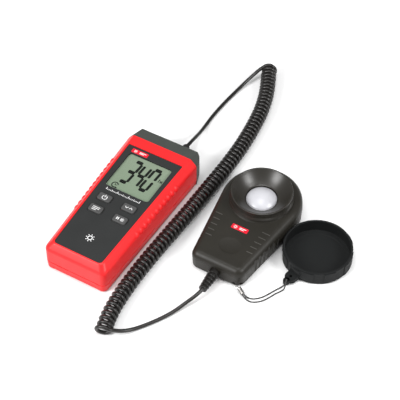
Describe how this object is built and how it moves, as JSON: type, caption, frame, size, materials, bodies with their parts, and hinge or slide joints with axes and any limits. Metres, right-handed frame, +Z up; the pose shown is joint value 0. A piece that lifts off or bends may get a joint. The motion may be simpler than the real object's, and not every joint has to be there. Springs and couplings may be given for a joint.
{
  "type": "light meter",
  "caption": "Split light meter: red readout with display and keys, curly cord, sensor head with white dome, and a tethered dust cap.",
  "frame": {"origin": "middle of the readout's back face, which rests on the table", "axes": "+X across the readout towards the sensor head, +Y along it to the cord end, +Z up out of its display"},
  "size_m": [0.1883, 0.2799, 0.026],
  "materials": {
    "red_plastic": "satin-gloss moulded ABS",
    "grey_plastic": "fine-textured moulded ABS",
    "panel_plastic": "printed matt overlay",
    "clear_window": "clear polished acrylic",
    "lcd": "grey-green reflective display",
    "white_plastic": "plain moulded",
    "silicone": "soft matt silicone",
    "board": "green solder mask",
    "chip_plastic": "moulded epoxy",
    "key_rubber": "soft-touch grey keys",
    "cell_jacket": "printed cell jacket",
    "plated_steel": "nickel plated",
    "cord_rubber": "semi-gloss cord jacket",
    "head_plastic": "satin moulded ABS",
    "opal": "opal diffusing plastic",
    "filter_glass": "green photopic filter",
    "gold_can": "gold-plated can",
    "string_fabric": "braided thin string",
    "cap_plastic": "matt moulded cap"
  },
  "bodies": {
    "readout": {"front_shell": "red_plastic", "rear_shell": "red_plastic", "end_cap": "grey_plastic", "front_panel": "panel_plastic", "display_window": "clear_window", "lcd_glass": "lcd", "lcd_backlight": "white_plastic", "zebra_strips": "silicone", "main_board": "board", "board_chips": "chip_plastic", "piezo_buzzer": "chip_plastic", "keypad_mat": "silicone", "battery_cells": "cell_jacket", "contact_springs": "plated_steel", "contact_plates": "plated_steel", "housing_screws": "plated_steel", "board_screws": "plated_steel", "cord_grommet": "cord_rubber", "lead_connector": "white_plastic", "inner_lead": "cord_rubber", "cord_tail_meter": "cord_rubber", "cord_coil": "cord_rubber"},
    "power_key": {"key_power": "key_rubber"},
    "mode_key": {"key_mode": "key_rubber"},
    "range_key": {"key_range": "key_rubber"},
    "hold_key": {"key_hold": "key_rubber"},
    "battery_door": {"battery_door": "red_plastic"},
    "sensor_head": {"head_top_shell": "head_plastic", "head_bottom_shell": "head_plastic", "sensor_ring": "head_plastic", "diffuser_dome": "opal", "correction_filter": "filter_glass", "photodiode": "gold_can", "sensor_board": "board", "sensor_board_screws": "plated_steel", "sensor_lead": "cord_rubber", "head_screws": "plated_steel", "strain_relief": "cord_rubber", "cord_tail_head": "cord_rubber", "lanyard_ring": "plated_steel"},
    "dust_cap": {"crimp_tube": "plated_steel", "lanyard_string": "string_fabric", "dust_cap": "cap_plastic"}
  },
  "joints": [
    {"name": "power_key_press", "type": "slide", "parent": "readout", "child": "power_key", "axis": [0, 0, -1], "range_m": [0, 0.0008], "stiffness_N_per_m": 1500},
    {"name": "mode_key_press", "type": "slide", "parent": "readout", "child": "mode_key", "axis": [0, 0, -1], "range_m": [0, 0.0008], "stiffness_N_per_m": 1500},
    {"name": "range_key_press", "type": "slide", "parent": "readout", "child": "range_key", "axis": [0, 0, -1], "range_m": [0, 0.0008], "stiffness_N_per_m": 1500},
    {"name": "hold_key_press", "type": "slide", "parent": "readout", "child": "hold_key", "axis": [0, 0, -1], "range_m": [0, 0.0008], "stiffness_N_per_m": 1500},
    {"name": "battery_door_slide", "type": "slide", "parent": "readout", "child": "battery_door", "axis": [0, -1, 0], "range_m": [0, 0.05]},
    {"name": "head_draw", "type": "slide", "parent": "readout", "child": "sensor_head", "axis": [0, -1, 0], "range_m": [0, 0.1]},
    {"name": "cap_swing", "type": "hinge", "parent": "sensor_head", "child": "dust_cap", "pos_m": [0.0988, -0.0135, 0.0032], "axis": [0, 0, 1], "range_deg": [-70, 0]}
  ]
}
